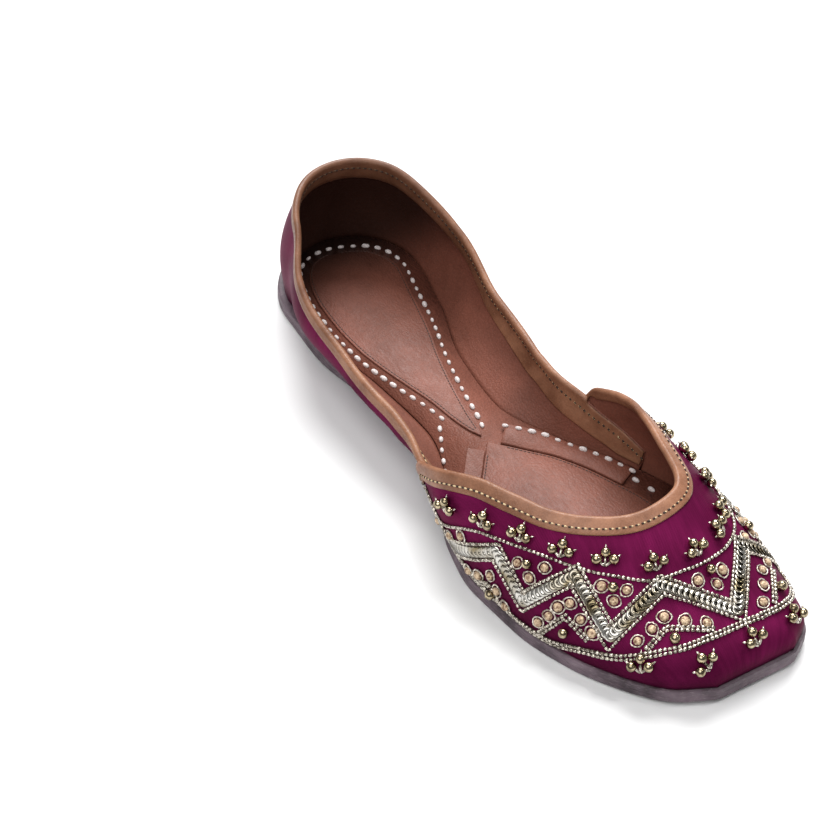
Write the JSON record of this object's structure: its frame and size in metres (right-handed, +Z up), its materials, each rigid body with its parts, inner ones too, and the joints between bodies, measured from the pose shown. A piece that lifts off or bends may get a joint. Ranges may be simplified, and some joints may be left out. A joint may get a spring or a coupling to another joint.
{
  "type": "mojari shoe",
  "caption": "Low-cut flat slip-on shoe with a squared toe, cloth vamp, folded leather bindings, leather quarter, lined insole and thin flat leather sole.",
  "frame": {"origin": "middle of the shoe's bounding box on the floor", "axes": "+Z up from the floor, -Y from the heel towards the toe, +X to the side that the toe curves towards"},
  "size_m": [0.0892, 0.25, 0.0493],
  "materials": {
    "sole": "buffed and dyed sole leather",
    "lining": "smooth brown lining leather",
    "cloth": "satin weave on a leather backing",
    "binding": "smooth tan leather"
  },
  "bodies": {
    "root": {"outsole": "sole", "insole": "lining", "heel_sock": "lining", "forefoot_sock": "lining", "left_band": "lining", "right_band": "lining", "upper": "cloth", "quarter_binding": "binding", "vamp_binding": "binding"}
  },
  "joints": []
}
